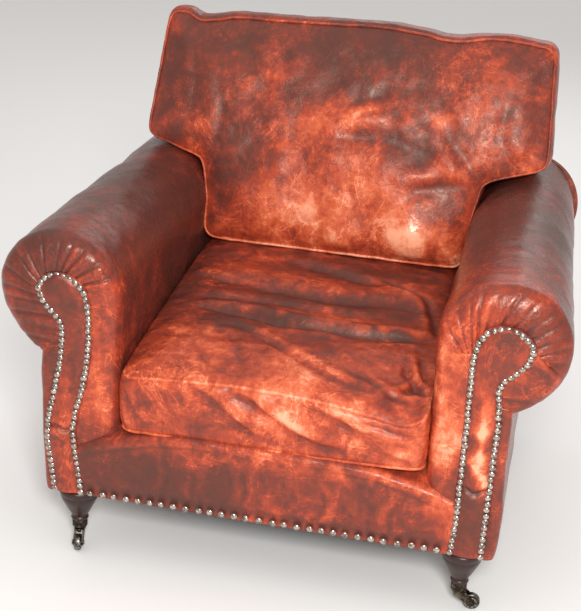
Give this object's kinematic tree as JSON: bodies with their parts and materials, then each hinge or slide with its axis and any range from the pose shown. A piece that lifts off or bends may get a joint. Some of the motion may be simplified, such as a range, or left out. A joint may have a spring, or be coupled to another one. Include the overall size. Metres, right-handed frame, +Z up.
{
  "type": "scroll-arm club chair",
  "caption": "Worn leather club chair with scroll arms, studded front facings, loose seat and T-shaped back cushions, turned front legs on castors and splayed rear legs.",
  "frame": {"origin": "on the floor, under the middle of the chair's bounding box", "axes": "+Z up, the front of the chair faces -Y, +X to the right as seen from the front"},
  "size_m": [1.0254, 0.91, 0.928],
  "materials": {
    "leather": "distressed aniline leather, satin with worn matt patches",
    "hardwood": "sawn, unfinished",
    "leg_wood": "dark stained, satin, scuffed",
    "nail_metal": "antiqued, tarnished with bright crowns",
    "castor_metal": "dark antiqued",
    "wheel_metal": "worn bright",
    "spring_steel": "plain drawn wire",
    "felt": "needled felt",
    "lining": "black woven lining",
    "webbing": "woven jute"
  },
  "bodies": {
    "chair": {"front_rail": "hardwood", "rear_rail": "hardwood", "front_post_left": "hardwood", "front_post_right": "hardwood", "rear_post_left": "hardwood", "rear_post_right": "hardwood", "side_rail_left": "hardwood", "side_rail_right": "hardwood", "arm_rail_left": "hardwood", "arm_rail_right": "hardwood", "back_top_rail": "hardwood", "back_lower_rail": "hardwood", "front_corner_block_left": "hardwood", "front_corner_block_right": "hardwood", "rear_corner_block_left": "hardwood", "rear_corner_block_right": "hardwood", "scroll_board_left": "hardwood", "scroll_board_right": "hardwood", "back_webbing_1": "webbing", "back_webbing_2": "webbing", "back_webbing_3": "webbing", "seat_spring_1": "spring_steel", "seat_spring_2": "spring_steel", "seat_spring_3": "spring_steel", "seat_spring_4": "spring_steel", "seat_spring_5": "spring_steel", "seat_deck": "felt", "dust_cover": "lining", "arm_pad_left": "leather", "arm_pad_right": "leather", "facing_panel_left": "leather", "facing_panel_right": "leather", "side_panel_left": "leather", "side_panel_right": "leather", "front_border": "leather", "outside_back": "leather", "inside_back": "leather", "seat_cushion": "leather", "back_cushion": "leather", "facing_nails_left": "nail_metal", "facing_nails_right": "nail_metal", "border_nails": "nail_metal", "front_leg_left": "leg_wood", "front_leg_right": "leg_wood", "rear_leg_left": "leg_wood", "rear_leg_right": "leg_wood", "castor_cup_left": "castor_metal", "castor_cup_right": "castor_metal"},
    "castor_left": {"castor_fork_left": "castor_metal", "castor_axle_left": "castor_metal"},
    "wheel_left": {"castor_wheel_left": "wheel_metal"},
    "castor_right": {"castor_fork_right": "castor_metal", "castor_axle_right": "castor_metal"},
    "wheel_right": {"castor_wheel_right": "wheel_metal"}
  },
  "joints": [
    {"name": "castor_swivel_left", "type": "hinge", "parent": "chair", "child": "castor_left", "pos_m": [-0.372, -0.41, 0.038], "axis": [0, 0, 1], "continuous": true},
    {"name": "wheel_roll_left", "type": "hinge", "parent": "castor_left", "child": "wheel_left", "pos_m": [-0.36659, -0.43543, 0.016], "axis": [0.9781, 0.2079, 0], "continuous": true},
    {"name": "castor_swivel_right", "type": "hinge", "parent": "chair", "child": "castor_right", "pos_m": [0.372, -0.41, 0.038], "axis": [0, 0, 1], "continuous": true},
    {"name": "wheel_roll_right", "type": "hinge", "parent": "castor_right", "child": "wheel_right", "pos_m": [0.39798, -0.40909, 0.016], "axis": [-0.0349, 0.9994, 0], "continuous": true}
  ]
}
